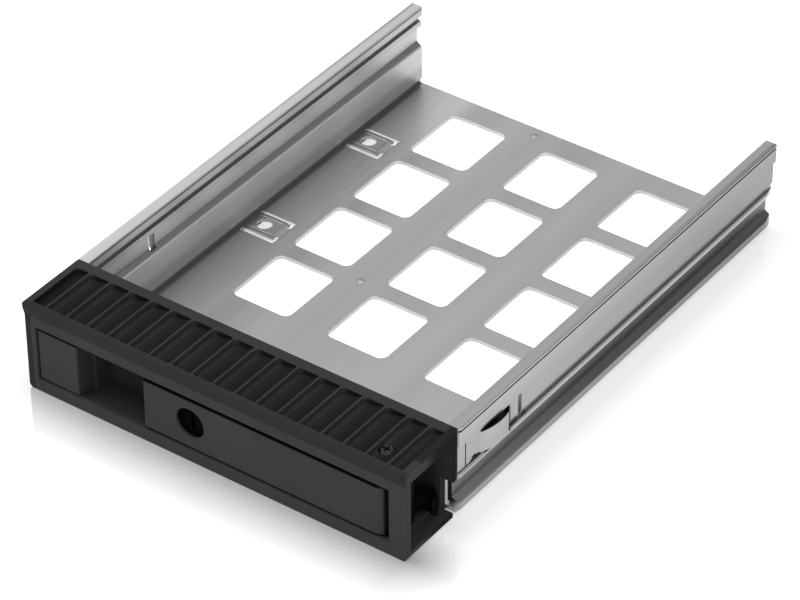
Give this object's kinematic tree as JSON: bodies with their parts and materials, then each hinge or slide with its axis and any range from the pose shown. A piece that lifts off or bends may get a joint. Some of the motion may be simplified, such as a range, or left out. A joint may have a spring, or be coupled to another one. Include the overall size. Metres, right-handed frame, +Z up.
{
  "type": "hot swap drive caddy",
  "caption": "Aluminium drive tray with floor cut-outs and grooved side rails behind a black bezel with a swinging eject lever, a lock and a release button.",
  "frame": {"origin": "bottom centre of the whole part's box", "axes": "+X to the right seen from the bezel, +Y from the bezel to the back, +Z up"},
  "size_m": [0.1128, 0.1578, 0.0254],
  "materials": {
    "aluminium": "satin, brushed along its length",
    "black_plastic": "fine grained, slight sheen",
    "latch_plastic": "smooth, matt",
    "black_screw": "black oxide, satin",
    "screw_steel": "zinc plated, satin",
    "spring_steel": "drawn wire",
    "lock_metal": "dark, satin",
    "cam_steel": "stamped, zinc plated"
  },
  "bodies": {
    "caddy": {"tray_channel": "aluminium", "bezel_housing": "black_plastic", "rear_cover": "black_plastic", "pivot_screw": "black_screw", "lever_spring": "spring_steel", "button_spring": "spring_steel", "latch_spring": "spring_steel", "bezel_screw_1": "screw_steel", "bezel_screw_2": "screw_steel", "bezel_screw_3": "screw_steel", "bezel_screw_4": "screw_steel", "cover_screw_1": "screw_steel", "cover_screw_2": "screw_steel"},
    "lever": {"lever_handle": "black_plastic"},
    "lock": {"lock_barrel": "lock_metal", "lock_cam": "cam_steel", "lock_screw": "screw_steel"},
    "button": {"release_button": "black_plastic"},
    "latch": {"latch_slider": "latch_plastic"}
  },
  "joints": [
    {"name": "lever_swing", "type": "hinge", "parent": "caddy", "child": "lever", "pos_m": [0.0453, -0.07155, 0.0111], "axis": [0, 0, 1], "range_deg": [0, 65], "deforming": ["lever_spring"]},
    {"name": "lock_turn", "type": "hinge", "parent": "lever", "child": "lock", "pos_m": [-0.0066, -0.07355, 0.0111], "axis": [0, -1, 0], "range_deg": [0, 90]},
    {"name": "button_press", "type": "slide", "parent": "caddy", "child": "button", "axis": [0, 1, 0], "range_m": [0, 0.002], "stiffness_N_per_m": 300, "springref_m": -0.001, "deforming": ["button_spring"]},
    {"name": "latch_slide", "type": "slide", "parent": "caddy", "child": "latch", "axis": [-1, 0, 0], "range_m": [0, 0.002], "deforming": ["latch_spring"]}
  ],
  "couplings": [
    {"joint": "latch_slide", "follows": "button_press", "ratio": 1}
  ]
}
